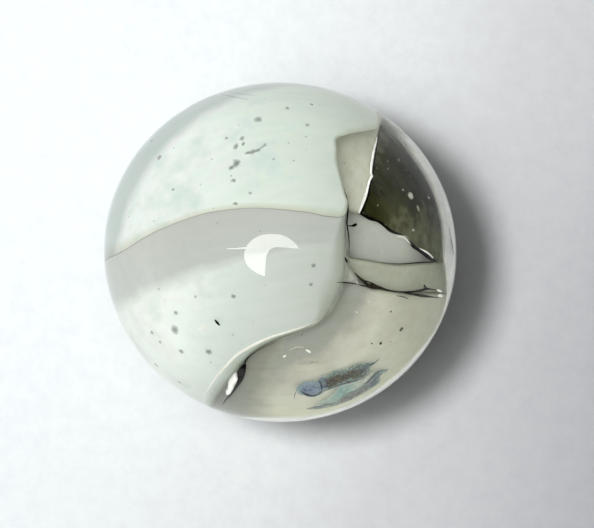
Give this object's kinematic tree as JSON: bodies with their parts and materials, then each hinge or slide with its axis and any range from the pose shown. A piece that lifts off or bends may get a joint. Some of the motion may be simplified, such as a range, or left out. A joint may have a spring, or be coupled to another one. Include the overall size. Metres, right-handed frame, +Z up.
{
  "type": "glass marble",
  "caption": "Clear glass marble, slightly out of round, with folded sheets of white opal glass inside.",
  "frame": {"origin": "centre of the ball", "axes": "+Z up, towards the face where both white lobes show; +X along the longest way across, towards the clear window; +Y along the shortest way across"},
  "size_m": [0.0164, 0.0156, 0.016],
  "materials": {
    "clear_glass": "clear soda-lime glass, fire-polished, with a few small bubbles and hairline cracks",
    "white_glass": "white opal glass, matt inside the clear glass"
  },
  "bodies": {
    "root": {"clear_glass": "clear_glass", "white_glass": "white_glass"}
  },
  "joints": []
}
